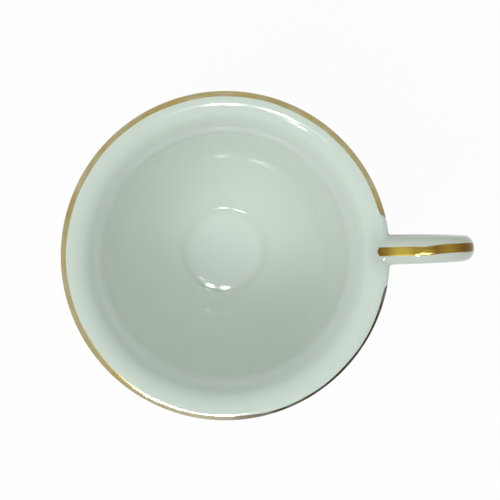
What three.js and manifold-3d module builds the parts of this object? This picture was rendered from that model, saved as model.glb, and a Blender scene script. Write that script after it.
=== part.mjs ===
// Espresso cup in glazed porcelain: an everted bowl luted to a foot ring, a loop handle luted over
// the lip and to the wall, and fired gold lines on the lip and along the back of the handle.
// Millimetres, +Z up. The cup stands on z = 0 with its handle along +X, and the origin is the middle
// of the whole footprint, handle included.

import * as THREE from "three";
import { mergeVertices } from "three/addons/utils/BufferGeometryUtils.js";
import Module from "manifold-3d";

const wasm = await Module();
wasm.setup();

// Bowl
const RIM_RADIUS = 32.8; // outer edge of the porcelain lip
const CUP_HEIGHT = 55; // table to the crest of the lip
const LIP_THICKNESS = 1.9;
const WALL = 2.3; // wall below the lip
const FLOOR_THICKNESS = 2.6;
const THROAT_RADIUS = 24.9; // inside, where the wall stands upright
const FLARE_DEPTH = 17; // crest of the lip down to the throat
const FLARE_UPRIGHT = 12; // how long the throat pulls the flare upright
const LIP_ROLL = 4.8; // how far the lip pulls the flare level
const BELLY_UPRIGHT = 19; // how long the throat pulls the belly upright
const BELLY_REACH = 10; // how far the floor pulls the belly level
const WELL_RADIUS = 8.9; // ring at the foot of the belly, inside
const WELL_SLOPE = THREE.MathUtils.degToRad(18); // belly's slope where it leaves the ring

// Foot
const FOOT_HEIGHT = 4; // table to the underside of the bowl
const FOOT_RADIUS = 15.6; // outer edge on the table
const FOOT_INNER_RADIUS = 12.4;
const FOOT_BEVEL = 0.5; // on both standing edges
const NECK_RADIUS = 14.8; // short neck of the bowl that the foot is luted to
const NECK_FILLET = 2; // how far out of the neck its fillet meets the belly
const SLIP_THICKNESS = 0.6; // luting slip between foot and neck

// Handle
const HANDLE_REACH = 50.2; // cup's axis to the outermost point of the loop
const HANDLE_WIDTH = 4.9; // at the outermost point
const ROOT_WIDTH = 5.4; // at both roots
const HANDLE_THICKNESS = 4.2;
const HANDLE_SQUARENESS = 2.4; // exponent of the section: 2 is an ellipse
const CREST_OUT = 7.4; // crest of the loop, out from the edge of the lip
const CREST_RISE = 3; // crest of the loop, above the crest of the lip
const BELLY_DROP = 7.5; // outermost point of the loop, below the crest of the lip
const LOWER_ROOT_HEIGHT = 20; // where the loop comes back to the wall
const LOWER_ROOT_SLOPE = THREE.MathUtils.degToRad(18); // its fall towards the wall there
const LIP_OVERLAP = 3.8; // how far the upper root reaches in over the lip
const ROOT_TIP_THICKNESS = 1.3; // upper root at its inner tip
const ROOT_TAPER = 0.8; // how far the tip narrows: 1 is to a point
const ROOT_FILLET = 1.1; // slip worked round both roots
const ROOT_LENGTH = 1.2; // slip between the bowl and the cut ends of the loop
const SLIP_GAP = 0.3; // clearance of the slip to the bowl

// Gold
const GOLD_THICKNESS = 0.25;
const GOLD_GAP = 0.05; // clearance of the gold to the porcelain
const RIM_GOLD_BELOW = THREE.MathUtils.degToRad(35); // how far the line turns under the lip's edge
const RIM_GOLD_SETBACK = 3; // bare lip between the line and the handle's root
const STRIPE_WIDTH = 1.8;
const STRIPE_START = 2.3; // stripe's upper end, in from the edge of the lip
const STRIPE_STOP = 1.5; // stripe's lower end, out from the wall

// Facets
const ROUND_STEPS = 64; // round the cup's axis
const STEM_STEPS = 52; // along the handle
const SECTION_STEPS = 16; // round the handle's section
const CURVE_STEPS = 10; // along each long curve of the bowl's profile
const FILLET_STEPS = 4; // along the fillet above the foot
const EDGE_STEPS = 6; // round the edge of the lip
const GOLD_STEPS = 5; // across each gold line

const glaze = () => new THREE.MeshStandardMaterial({ color: "#cbd8ce", roughness: 0.12, metalness: 0 });
const gold = () => new THREE.MeshStandardMaterial({ color: "#b9923f", roughness: 0.25, metalness: 1 });

// Solids

function revolve(profile) {
  const points = profile.map(([radius, height]) => new THREE.Vector2(radius, height));
  return new THREE.LatheGeometry(points, ROUND_STEPS).rotateX(Math.PI / 2);
}

// A closed solid skinned over a row of flat sections. Each section is an outline of points (across,
// up) in a frame of its own, and all of them have the same number of points.
function skin(outlines, frames) {
  const count = outlines[0].length;
  const points = outlines.flatMap((outline, row) =>
    outline.map(([across, up]) =>
      frames[row].origin
        .clone()
        .addScaledVector(frames[row].across, across)
        .addScaledVector(frames[row].up, up),
    ),
  );
  const faces = [];
  for (let row = 0; row + 1 < outlines.length; row++) {
    for (let i = 0; i < count; i++) {
      const a = row * count + i;
      const b = row * count + ((i + 1) % count);
      faces.push(a, b, b + count, a, b + count, a + count);
    }
  }
  const endFaces = (outline) =>
    THREE.ShapeUtils.triangulateShape(outline.map(([across, up]) => new THREE.Vector2(across, up)), []);
  const last = points.length - count;
  endFaces(outlines[0]).forEach(([a, b, c]) => faces.push(a, c, b));
  endFaces(outlines.at(-1)).forEach(([a, b, c]) => faces.push(last + a, last + b, last + c));
  const geometry = new THREE.BufferGeometry().setFromPoints(points);
  geometry.setIndex(faces);
  geometry.computeVertexNormals();
  return geometry;
}

function solid(geometry) {
  const bare = geometry.clone();
  bare.deleteAttribute("normal");
  bare.deleteAttribute("uv");
  const merged = mergeVertices(bare, 1e-4);
  const vertProperties = new Float32Array(merged.attributes.position.array);
  const triVerts = new Uint32Array(merged.index.array);
  return new wasm.Manifold(new wasm.Mesh({ numProp: 3, vertProperties, triVerts }));
}

function cut(body, tool) {
  const mesh = solid(body).subtract(solid(tool)).getMesh();
  const geometry = new THREE.BufferGeometry();
  geometry.setAttribute("position", new THREE.BufferAttribute(new Float32Array(mesh.vertProperties), 3));
  geometry.setIndex(Array.from(mesh.triVerts));
  geometry.computeVertexNormals();
  return geometry;
}

// Bowl profile

const floorTop = FOOT_HEIGHT + FLOOR_THICKNESS;
const lipRound = LIP_THICKNESS / 2;
const lipCentre = RIM_RADIUS - lipRound;
const throatHeight = CUP_HEIGHT - FLARE_DEPTH;

// The inside of the bowl, from the well ring up to the crest of the lip.
const bellyLevel = BELLY_REACH * Math.cos(WELL_SLOPE);
const bellyRise = BELLY_REACH * Math.sin(WELL_SLOPE);
const belly = new THREE.CubicBezierCurve(
  new THREE.Vector2(WELL_RADIUS, floorTop),
  new THREE.Vector2(WELL_RADIUS + bellyLevel, floorTop + bellyRise),
  new THREE.Vector2(THROAT_RADIUS, throatHeight - BELLY_UPRIGHT),
  new THREE.Vector2(THROAT_RADIUS, throatHeight),
);
const flare = new THREE.CubicBezierCurve(
  new THREE.Vector2(THROAT_RADIUS, throatHeight),
  new THREE.Vector2(THROAT_RADIUS, throatHeight + FLARE_UPRIGHT),
  new THREE.Vector2(lipCentre - LIP_ROLL, CUP_HEIGHT),
  new THREE.Vector2(lipCentre, CUP_HEIGHT),
);

// Points of a curve of the inside, moved off it to the outside by a thickness that may change along it.
function offsetCurve(curve, thickness) {
  return Array.from({ length: CURVE_STEPS + 1 }, (_, i) => {
    const along = i / CURVE_STEPS;
    const point = curve.getPoint(along);
    const tangent = curve.getTangent(along);
    return [point.x + tangent.y * thickness(along), point.y - tangent.x * thickness(along)];
  });
}

// The point where a rising row of points first reaches a value of its radius (0) or its height (1).
function pointWhere(points, coordinate, value) {
  const next = points.findIndex((point) => point[coordinate] >= value);
  const before = points[next - 1];
  const after = points[next];
  const share = (value - before[coordinate]) / (after[coordinate] - before[coordinate]);
  return before.map((start, i) => THREE.MathUtils.lerp(start, after[i], share));
}

// Both sides of the bowl's profile, grown by a clearance: the inside from the axis to the crest of the
// lip, the wall's outside from the bottom up, and the whole outside from the crest round the edge and
// down to the axis again.
function insideProfile(clearance) {
  return [
    [0, floorTop + clearance],
    ...offsetCurve(belly, () => -clearance),
    ...offsetCurve(flare, () => -clearance).slice(1, -1),
  ];
}

function wallProfile(clearance) {
  const flareWall = (along) => THREE.MathUtils.lerp(WALL, LIP_THICKNESS, along) + clearance;
  return [...offsetCurve(belly, () => WALL + clearance), ...offsetCurve(flare, flareWall).slice(1)];
}

function outsideProfile(clearance) {
  const edgeRadius = lipRound + clearance;
  const edge = new THREE.EllipseCurve(
    lipCentre, CUP_HEIGHT - lipRound, edgeRadius, edgeRadius, Math.PI / 2, -Math.PI / 2, true,
  ).getPoints(EDGE_STEPS).map((point) => [point.x, point.y]);
  const wall = wallProfile(clearance).reverse().slice(1);
  const neck = NECK_RADIUS + clearance;
  const aboveNeck = wall.filter(([radius]) => radius > neck + NECK_FILLET);
  const [startRadius, startHeight] = pointWhere(wallProfile(clearance), 0, neck + NECK_FILLET);
  const underside = FOOT_HEIGHT - clearance;
  const fillet = new THREE.QuadraticBezierCurve(
    new THREE.Vector2(startRadius, startHeight),
    new THREE.Vector2(neck, startHeight - NECK_FILLET / 2),
    new THREE.Vector2(neck, underside),
  ).getPoints(FILLET_STEPS).map((point) => [point.x, point.y]);
  return [...edge, ...aboveNeck, ...fillet, [0, underside]];
}

// The bowl itself, and the same bowl filled up to its crest, both drawn up the outside first.
function bowlProfile(clearance) {
  return [...insideProfile(clearance), ...outsideProfile(clearance)].reverse();
}

function filledProfile(clearance) {
  return [[0, CUP_HEIGHT + clearance], ...outsideProfile(clearance)].reverse();
}

function wallRadiusAt(height) {
  return pointWhere(wallProfile(0), 1, height)[0];
}

// Handle

const crest = new THREE.Vector3(RIM_RADIUS + CREST_OUT, 0, CUP_HEIGHT + CREST_RISE - HANDLE_THICKNESS / 2);
const outermost = new THREE.Vector3(HANDLE_REACH - HANDLE_THICKNESS / 2, 0, CUP_HEIGHT - BELLY_DROP);
const upperTip = new THREE.Vector3(RIM_RADIUS - LIP_OVERLAP, 0, CUP_HEIGHT - lipRound);
const wallRadius = wallRadiusAt(LOWER_ROOT_HEIGHT);
const lowerTip = new THREE.Vector3(wallRadius - WALL / 2, 0, LOWER_ROOT_HEIGHT);

// The middle line of the loop, from over the lip, up to the crest, round and back into the wall.
function stemPath() {
  const quarter = 0.55; // tangent length that makes a quarter turn nearly an ellipse
  const rise = (crest.x - upperTip.x) / 2;
  const out = (outermost.x - crest.x) * quarter;
  const down = (crest.z - outermost.z) * quarter;
  const fall = (outermost.z - lowerTip.z) * quarter;
  const back = (outermost.x - lowerTip.x) * quarter;
  const path = new THREE.CurvePath();
  path.add(new THREE.CubicBezierCurve3(
    upperTip,
    upperTip.clone().add(new THREE.Vector3(rise, 0, (crest.z - upperTip.z) / 3)),
    crest.clone().add(new THREE.Vector3(-rise, 0, 0)),
    crest,
  ));
  path.add(new THREE.CubicBezierCurve3(
    crest,
    crest.clone().add(new THREE.Vector3(out, 0, 0)),
    outermost.clone().add(new THREE.Vector3(0, 0, down)),
    outermost,
  ));
  path.add(new THREE.CubicBezierCurve3(
    outermost,
    outermost.clone().add(new THREE.Vector3(0, 0, -fall)),
    lowerTip.clone().add(new THREE.Vector3(back, 0, back * Math.tan(LOWER_ROOT_SLOPE))),
    lowerTip,
  ));
  return path;
}

const path = stemPath();
const [, toOutermost, toLowerTip] = path.getCurveLengths();
const outermostFraction = toOutermost / toLowerTip;

// How far the loop's middle line stands out from the lip on its upper limb, or from the wall on its lower.
function standOff(fraction) {
  const foot = fraction < outermostFraction ? RIM_RADIUS : wallRadius;
  return path.getPointAt(fraction).x - foot;
}

// The fraction of the path, on the limb that starts at a tip, where the loop stands out by a distance.
function fractionAt(distance, tipFraction) {
  const halvings = 30;
  let near = tipFraction;
  let far = outermostFraction;
  for (let i = 0; i < halvings; i++) {
    const middle = (near + far) / 2;
    if (standOff(middle) < distance) {
      near = middle;
    } else {
      far = middle;
    }
  }
  return near;
}

// The lower cut end leans, and so does the wall over it, so its upper corner is the one that has to clear.
const endLean = (HANDLE_THICKNESS / 2) * Math.sin(LOWER_ROOT_SLOPE);
const wallLean = wallRadiusAt(LOWER_ROOT_HEIGHT + HANDLE_THICKNESS) - wallRadius;
const upperCut = fractionAt(ROOT_LENGTH, 0);
const lowerCut = fractionAt(ROOT_LENGTH + endLean + wallLean, 1);
const stripeStart = fractionAt(-STRIPE_START, 0);
const stripeStop = fractionAt(STRIPE_STOP, 1);

// A quarter round that swells a root from nothing at one fillet's distance to the full fillet.
function filletAt(distance) {
  const left = THREE.MathUtils.clamp(ROOT_FILLET - distance, 0, ROOT_FILLET);
  return ROOT_FILLET - Math.sqrt(ROOT_FILLET ** 2 - left ** 2);
}

// A station on the loop: a frame square to it, and the half width and half thickness there.
const ACROSS = new THREE.Vector3(0, 1, 0);
const rootHalfWidth = ROOT_WIDTH / 2 + ROOT_FILLET;

function stationAt(fraction) {
  const origin = path.getPointAt(fraction);
  const up = path.getTangentAt(fraction).cross(ACROSS);
  const distance = standOff(fraction);
  const isUpper = fraction < outermostFraction;
  const overLip = isUpper ? THREE.MathUtils.clamp(-distance / LIP_OVERLAP, 0, 1) : 0;
  const outwards = THREE.MathUtils.clamp(distance / (outermost.x - RIM_RADIUS), 0, 1);
  const width = THREE.MathUtils.lerp(ROOT_WIDTH, HANDLE_WIDTH, outwards);
  const swell = filletAt(distance);
  const taper = Math.sqrt(1 - ROOT_TAPER * overLip ** 2);
  return {
    fraction,
    origin,
    across: ACROSS,
    up,
    halfWidth: (width / 2 + swell) * taper,
    halfThickness: THREE.MathUtils.lerp(HANDLE_THICKNESS / 2 + swell / 2, ROOT_TIP_THICKNESS / 2, overLip),
  };
}

// Even stations along the loop, and one exactly where each of its pieces ends.
const pieceEnds = [0, stripeStart, upperCut, stripeStop, lowerCut, 1];
const evenFractions = Array.from({ length: STEM_STEPS }, (_, i) => (i + 0.5) / STEM_STEPS);
const betweenEnds = evenFractions.filter((fraction) =>
  pieceEnds.every((end) => Math.abs(fraction - end) > 0.5 / STEM_STEPS),
);
const stem = [...pieceEnds, ...betweenEnds].sort((a, b) => a - b).map(stationAt);

function stemBetween(from, to) {
  return stem.filter((station) => station.fraction >= from && station.fraction <= to);
}

function sectionPoint(station, angle, lift) {
  const rounded = (value) => Math.sign(value) * Math.abs(value) ** (2 / HANDLE_SQUARENESS);
  return [
    rounded(Math.cos(angle)) * (station.halfWidth + lift),
    rounded(Math.sin(angle)) * (station.halfThickness + lift),
  ];
}

function stemPiece(from, to) {
  const rows = stemBetween(from, to);
  const turn = (i) => (2 * Math.PI * i) / SECTION_STEPS;
  const outlines = rows.map((row) =>
    Array.from({ length: SECTION_STEPS }, (_, i) => sectionPoint(row, turn(i), 0)),
  );
  return skin(outlines, rows);
}

// Gold

// A strip of gold over the back of the loop, from over the lip down to the lower root.
function stripePiece() {
  const rows = stemBetween(stripeStart, stripeStop);
  const outlines = rows.map((row) => {
    const edge = Math.acos((STRIPE_WIDTH / 2 / row.halfWidth) ** (HANDLE_SQUARENESS / 2));
    const angles = Array.from({ length: GOLD_STEPS + 1 }, (_, i) =>
      THREE.MathUtils.lerp(edge, Math.PI - edge, i / GOLD_STEPS),
    );
    const outer = angles.map((angle) => sectionPoint(row, angle, GOLD_GAP + GOLD_THICKNESS));
    const inner = angles.map((angle) => sectionPoint(row, angle, GOLD_GAP)).reverse();
    return [...outer, ...inner];
  });
  return skin(outlines, rows);
}

// A hoop of gold round the edge of the lip, from its crest to a little under its edge, open at the handle.
function hoopPiece() {
  const rim = (radius, from, to) =>
    new THREE.EllipseCurve(lipCentre, CUP_HEIGHT - lipRound, radius, radius, from, to, from > to)
      .getPoints(GOLD_STEPS)
      .map((point) => [point.x, point.y]);
  const outline = [
    ...rim(lipRound + GOLD_GAP, Math.PI / 2, -RIM_GOLD_BELOW),
    ...rim(lipRound + GOLD_GAP + GOLD_THICKNESS, -RIM_GOLD_BELOW, Math.PI / 2),
  ];
  const open = Math.asin((rootHalfWidth + RIM_GOLD_SETBACK) / RIM_RADIUS);
  const facet = (2 * Math.PI) / ROUND_STEPS;
  const facetEdges = Array.from({ length: ROUND_STEPS }, (_, i) => 2 * Math.PI - i * facet);
  const covered = facetEdges.filter((angle) => angle > open && angle < 2 * Math.PI - open);
  const rows = [2 * Math.PI - open, ...covered, open].map((angle) => ({
    origin: new THREE.Vector3(),
    across: new THREE.Vector3(Math.cos(angle), Math.sin(angle), 0),
    up: new THREE.Vector3(0, 0, 1),
  }));
  return skin(rows.map(() => outline), rows);
}

// Foot

function footPiece() {
  const top = FOOT_HEIGHT - SLIP_THICKNESS;
  return revolve([
    [FOOT_INNER_RADIUS, top],
    [FOOT_INNER_RADIUS, FOOT_BEVEL],
    [FOOT_INNER_RADIUS + FOOT_BEVEL, 0],
    [FOOT_RADIUS - FOOT_BEVEL, 0],
    [FOOT_RADIUS, FOOT_BEVEL],
    [NECK_RADIUS, top],
    [FOOT_INNER_RADIUS, top],
  ]);
}

function footSlipPiece() {
  return revolve([
    [FOOT_INNER_RADIUS, FOOT_HEIGHT],
    [FOOT_INNER_RADIUS, FOOT_HEIGHT - SLIP_THICKNESS],
    [NECK_RADIUS, FOOT_HEIGHT - SLIP_THICKNESS],
    [NECK_RADIUS, FOOT_HEIGHT],
    [FOOT_INNER_RADIUS, FOOT_HEIGHT],
  ]);
}

// Assembly

const bowlRoom = revolve(bowlProfile(SLIP_GAP));
const filledRoom = revolve(filledProfile(SLIP_GAP));
const cup = new THREE.Group();
cup.position.x = -(HANDLE_REACH - RIM_RADIUS) / 2;

function addPiece(name, geometry, material) {
  const mesh = new THREE.Mesh(geometry, material);
  mesh.name = name;
  cup.add(mesh);
}

addPiece("bowl", revolve(bowlProfile(0)), glaze());
addPiece("foot_ring", footPiece(), glaze());
addPiece("foot_slip", footSlipPiece(), glaze());
addPiece("handle", stemPiece(upperCut, lowerCut), glaze());
addPiece("handle_upper_slip", cut(stemPiece(0, upperCut), bowlRoom), glaze());
addPiece("handle_lower_slip", cut(stemPiece(lowerCut, 1), filledRoom), glaze());
addPiece("rim_gilding", hoopPiece(), gold());
addPiece("handle_gilding", stripePiece(), gold());

const espressoCup = new THREE.Group();
espressoCup.add(cup);

export default espressoCup;
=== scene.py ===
# %% [markdown]
# # A small celadon cup with gold lines
#
# This lesson dresses an espresso cup: a thin porcelain bowl with a turned-out lip, a foot ring, a
# loop handle, the slip that joins them, and two lines of fired gold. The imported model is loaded
# first and stays fixed. It gives the sizes and places, and every piece made here stands for one of
# its solids, finer and with a real finish.

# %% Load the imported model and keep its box
import math

import bmesh
import bpy
import numpy as np
from mathutils import Matrix, Vector


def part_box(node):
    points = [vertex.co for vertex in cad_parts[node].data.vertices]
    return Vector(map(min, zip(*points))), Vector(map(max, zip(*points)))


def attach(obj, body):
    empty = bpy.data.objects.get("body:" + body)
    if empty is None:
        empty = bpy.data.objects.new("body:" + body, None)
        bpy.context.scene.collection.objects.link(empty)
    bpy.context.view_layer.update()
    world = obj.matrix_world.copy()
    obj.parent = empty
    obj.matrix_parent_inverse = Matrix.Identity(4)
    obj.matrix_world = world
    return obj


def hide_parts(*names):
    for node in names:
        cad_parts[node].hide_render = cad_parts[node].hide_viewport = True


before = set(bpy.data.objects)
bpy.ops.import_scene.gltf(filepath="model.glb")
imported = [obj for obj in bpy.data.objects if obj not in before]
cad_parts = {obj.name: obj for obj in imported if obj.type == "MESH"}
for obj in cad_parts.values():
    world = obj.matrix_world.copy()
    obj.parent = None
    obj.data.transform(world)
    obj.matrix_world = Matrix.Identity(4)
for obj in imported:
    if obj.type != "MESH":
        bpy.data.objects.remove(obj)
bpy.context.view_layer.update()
print("solids in the frame:", sorted(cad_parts))

# %% [markdown]
# ## Sizes
#
# A potter measures a cup from its axis, so the shapes below are worked out in millimetres from the
# cup's own axis, and one function moves them to the frame, in metres. The gold is a film on the
# lip, so the lip itself ends just short of the box of the gold.

# %% Sizes from the frame
MM = 0.001
FILM = 0.04  # how far the gold stands proud, thicker than fired gold so that it has an edge

bowl_low, bowl_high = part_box("bowl")
gold_low, gold_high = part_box("rim_gilding")
foot_low, foot_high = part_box("foot_ring")
slip_low, slip_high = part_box("foot_slip")
handle_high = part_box("handle")[1]

AXIS_X = (bowl_low.x + bowl_high.x) / 2
LIP_EDGE = (gold_high.y - gold_low.y) / 2 / MM - FILM
LIP_TOP = gold_high.z / MM - FILM
FOOT_RADIUS = (foot_high.y - foot_low.y) / 2 / MM
FOOT_TOP = foot_high.z / MM
NECK_RADIUS = (slip_high.y - slip_low.y) / 2 / MM
BOWL_BASE = slip_high.z / MM
HANDLE_REACH = (handle_high.x - AXIS_X) / MM


def placed(points):
    """Millimetres from the cup's axis, as metres in the frame."""
    return np.asarray(points, float) * MM + (AXIS_X, 0, 0)


print(f"lip {LIP_EDGE:.2f} mm from the axis, {LIP_TOP:.2f} mm up, handle out to {HANDLE_REACH:.2f} mm")

# %% [markdown]
# ## Camera
#
# The cup is seen from almost straight above with a long lens: the lip and the well hardly differ in
# scale. The camera stands a little behind the cup's middle and leans by under two degrees, forward
# and to the right, so the well sits slightly above the middle of the lip in the picture. A turn of
# under two degrees about the view gives the handle its slight rise to the right.

# %% Camera
CAMERA_PLACE = (-3.2, 11.5, 505)  # millimetres from the axis
CAMERA_TARGET = (4.9, 1.05, 55)
CAMERA_TURN = math.radians(1.75)
SENSOR = 36
LENS = 161.8
CLIP_START = 0.01  # metres, so that a view from close by isn't cut

camera_place = Vector(placed(CAMERA_PLACE))
backwards = (camera_place - Vector(placed(CAMERA_TARGET))).normalized()
picture_up = Vector((math.sin(CAMERA_TURN), math.cos(CAMERA_TURN), 0))
rightwards = picture_up.cross(backwards).normalized()
upwards = backwards.cross(rightwards)
turn = Matrix((rightwards, upwards, backwards)).transposed()

bpy.ops.object.select_all(action="DESELECT")
bpy.ops.object.camera_add(location=camera_place, rotation=turn.to_euler())
camera = bpy.context.object
camera.data.lens = LENS
camera.data.sensor_width = SENSOR
camera.data.clip_start = CLIP_START
bpy.context.scene.camera = camera
print("camera", tuple(round(v, 4) for v in camera.location))

# %% [markdown]
# ## Nodes and colours
#
# Colours are written as they look on a screen, in sRGB hex, and the shader wants them linear, so one
# function turns them. Another adds a node, sets it and links it: it is all that the finishes need.

# %% Helpers for the finishes
SMOOTH = {"interpolation_type": "SMOOTHSTEP"}  # for a range that starts and ends softly


def linear(colour):
    """An sRGB hex colour as the linear colour that a shader socket takes."""
    values = [int(colour[i : i + 2], 16) / 255 for i in (1, 3, 5)]
    return [v / 12.92 if v <= 0.04045 else ((v + 0.055) / 1.055) ** 2.4 for v in values] + [1]


def add_node(tree, kind, settings=None, links=None):
    """Add a node, set its sockets or properties by name or number, and link outputs to its inputs."""
    node = tree.nodes.new(kind)
    for name, value in (settings or {}).items():
        if isinstance(name, int) or name in node.inputs:
            node.inputs[name].default_value = value
        else:
            setattr(node, name, value)
    for name, output in (links or {}).items():
        tree.links.new(output, node.inputs[name])
    return node


def new_material(name):
    """A material with only its shader and output, and its node tree."""
    material = bpy.data.materials.new(name)
    material.use_nodes = True
    return material, material.node_tree, material.node_tree.nodes["Principled BSDF"]


print(f"#808080 on a screen is {linear('#808080')[0]:.3f} in linear light")

# %% [markdown]
# ## Light, floor and background
#
# A white table in a bright, even room. Soft boxes light the cup and show in no reflection. The
# highlights come from small lamps that show only in reflections: two bright ones in front and to the
# left, one lower on the left, and two faint ones to either side. They give the pairs of small
# highlights on the lip and round the well. The background is the floor itself: to the camera it is
# mostly a plain white, and the rest of it is lit, so that the cup's shadow stays.

# %% World
SKY_LEVEL = 0.52


def seen_directly(tree):
    """1 for rays from the camera, or by way of a reflection or glass, and 0 for rays that only light."""
    rays = add_node(tree, "ShaderNodeLightPath").outputs
    seen = rays["Is Camera Ray"]
    for bounce in ("Is Glossy Ray", "Is Transmission Ray"):
        seen = add_node(
            tree, "ShaderNodeMath", {"operation": "MAXIMUM"}, {0: seen, 1: rays[bounce]}
        ).outputs[0]
    return seen


world = bpy.data.worlds.new("white_room")
world.use_nodes = True
bpy.context.scene.world = world
sky = world.node_tree
level = add_node(
    sky, "ShaderNodeMapRange", {"To Min": SKY_LEVEL, "To Max": 1.0}, {"Value": seen_directly(sky)}
)
sky.nodes["Background"].inputs["Color"].default_value = linear("#FFFFFF")
sky.links.new(level.outputs[0], sky.nodes["Background"].inputs["Strength"])
bpy.context.scene.view_settings.view_transform = "Standard"
print("sky level", SKY_LEVEL)

# %% Floor
FLOOR_SIZE = 6.0
FLOOR_WHITE = 0.95  # share of plain white in what the camera sees of the floor

bpy.ops.object.select_all(action="DESELECT")
bpy.ops.mesh.primitive_plane_add(size=FLOOR_SIZE, location=(0, 0, 0))
floor = bpy.context.object
floor.name = "table"
table_paint, tree, shader = new_material("white_table_paint")
shader.inputs["Base Color"].default_value = linear("#F2F2F1")
shader.inputs["Roughness"].default_value = 0.9
shader.inputs["Specular IOR Level"].default_value = 0.1
plain_white = add_node(tree, "ShaderNodeEmission", {"Color": linear("#FFFFFF"), "Strength": 1.0})
share = add_node(
    tree, "ShaderNodeMath", {"operation": "MULTIPLY", 1: FLOOR_WHITE}, {0: seen_directly(tree)}
)
mixed = add_node(
    tree,
    "ShaderNodeMixShader",
    links={0: share.outputs[0], 1: shader.outputs[0], 2: plain_white.outputs[0]},
)
tree.links.new(mixed.outputs[0], tree.nodes["Material Output"].inputs["Surface"])
floor.data.materials.append(table_paint)
print("floor", FLOOR_SIZE, "m wide")

# %% Lamps
LAMP_DISTANCE = 0.7  # metres
LAMP_AIM = (0, 0, 45)  # millimetres from the axis
# A lamp's degrees from straight in front towards the left, degrees down from overhead, width and
# height in metres, and radiance.
LAMPS = {
    "softbox": (0, 0, 0.30, 0.30, 1.5),
    "left_softbox": (45, 35, 0.30, 0.30, 3.3),
    "front_softbox": (10, 27, 0.20, 0.20, 5.2),
    "window_softbox": (80, 62, 0.80, 0.80, 0.35),
    "front_lamp": (-0.5, 25, 0.04, 0.075, 260),
    "front_left_lamp": (20.5, 25, 0.04, 0.075, 260),
    "low_left_lamp": (28.5, 40, 0.03, 0.045, 300),
    "far_left_lamp": (36, 20, 0.04, 0.045, 5),
    "right_lamp": (-18, 25, 0.08, 0.045, 4),
}

for name, (azimuth, tilt, width, height, radiance) in LAMPS.items():
    aside, lean = math.radians(azimuth), math.radians(tilt)
    towards = Vector((-math.sin(aside) * math.sin(lean), -math.cos(aside) * math.sin(lean), math.cos(lean)))
    bpy.ops.object.light_add(type="AREA", location=Vector(placed(LAMP_AIM)) + towards * LAMP_DISTANCE)
    lamp = bpy.context.object
    lamp.name = name
    lamp.rotation_euler = towards.to_track_quat("Z", "Y").to_euler()
    lamp.data.shape = "RECTANGLE"
    lamp.data.size, lamp.data.size_y = width, height
    lamp.data.energy = radiance * math.pi * width * height
    lamp.visible_diffuse = "softbox" in name
    lamp.visible_glossy = "softbox" not in name
    print(name, f"{lamp.data.energy:.2f} W")

# %% [markdown]
# ## Finish: celadon glaze on porcelain
#
# Porcelain dipped in a pale grey-green glaze and fired. The glaze is glass over a white body: it
# gives a soft colour from below and sharp reflections on top. In the ring round the floor it gathers
# and is deeper in colour, and painted shade darkens the ring as well. The lip is painted deeper than
# the inside, a painted shade that evens out the light between them. The joints of the handle are
# painted darker, as painted shade, and the handle greyer and darker, partly its own tone and partly
# painted shade. Its skin is level to a few thousandths of a millimetre, which is enough to make a
# highlight waver.
#
# Height and distance from the axis are enough to place the lip and the ring. A joint has no such
# simple place, so the pieces there carry an attribute, "joint": 0 on the bowl well away from it, 1 on
# the strap of the handle, and in between on the roots and on the bowl round them.

# %% Colour of the glaze
BODY_SHADES = ("#DEE7DF", "#E2EAE3")
# deeper glaze gathered in the ring round the floor, with painted shade in it as well
RING_GLAZE_AND_SHADE = "#C4DACA"
# the lip is painted deeper than the inside: a painted shade that evens out the light between them
LIP_PAINTED_SHADE = "#CFDED2"
# painted shade round the joints of the handle, where their creases are shaded
JOINT_PAINTED_SHADE = "#B9C8BC"
# the handle greyer, its own tone, and darker, a painted shade
HANDLE_TONE_AND_SHADE = "#C6D1C5"
WELL_RING = 8.9  # radius of the hollow ring round the floor of the cup
RING_REACH = 1.6  # how far the ring's deeper glaze and painted shade spread to either side of it
RING_SHARE = 0.45
RING_HEIGHTS = (5.0, 9.0)  # it fades out between these
LIP_HEIGHTS = (48.0, 54.8)  # the lip's painted shade comes in between these
JOINT_DARKEST = 0.35  # value of the joint attribute where the painted shade is darkest


def cup_coordinates(tree):
    """Object coordinates in millimetres from the cup's axis."""
    place = add_node(tree, "ShaderNodeTexCoord").outputs["Object"]
    return add_node(
        tree,
        "ShaderNodeMapping",
        {"Location": (-AXIS_X / MM, 0, 0), "Scale": (1 / MM, 1 / MM, 1 / MM)},
        {"Vector": place},
    ).outputs[0]


def ring_glaze_and_shade(tree, place, height):
    """How much of the ring's deeper glaze and painted shade there is round the floor."""
    flat = add_node(tree, "ShaderNodeVectorMath", {"operation": "MULTIPLY", 1: (1, 1, 0)}, {0: place})
    radius = add_node(tree, "ShaderNodeVectorMath", {"operation": "LENGTH"}, {0: flat.outputs[0]})
    off_ring = add_node(
        tree, "ShaderNodeMath", {"operation": "SUBTRACT", 1: WELL_RING}, {0: radius.outputs[1]}
    )
    from_ring = add_node(tree, "ShaderNodeMath", {"operation": "ABSOLUTE"}, {0: off_ring.outputs[0]})
    ring = add_node(
        tree,
        "ShaderNodeMapRange",
        {**SMOOTH, "From Max": RING_REACH, "To Min": RING_SHARE, "To Max": 0.0},
        {"Value": from_ring.outputs[0]},
    )
    low = add_node(
        tree,
        "ShaderNodeMapRange",
        {**SMOOTH, "From Min": RING_HEIGHTS[0], "From Max": RING_HEIGHTS[1], "To Min": 1.0, "To Max": 0.0},
        {"Value": height},
    )
    return add_node(
        tree, "ShaderNodeMath", {"operation": "MULTIPLY"}, {0: ring.outputs[0], 1: low.outputs[0]}
    ).outputs[0]


def joint_shares(tree):
    """How far the painted shade has come in towards a joint, and from there to the handle's colour."""
    joint = add_node(tree, "ShaderNodeAttribute", {"attribute_name": "joint"}).outputs["Fac"]
    return [
        add_node(
            tree, "ShaderNodeMapRange", {**SMOOTH, bound: JOINT_DARKEST}, {"Value": joint}
        ).outputs[0]
        for bound in ("From Max", "From Min")
    ]


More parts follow.
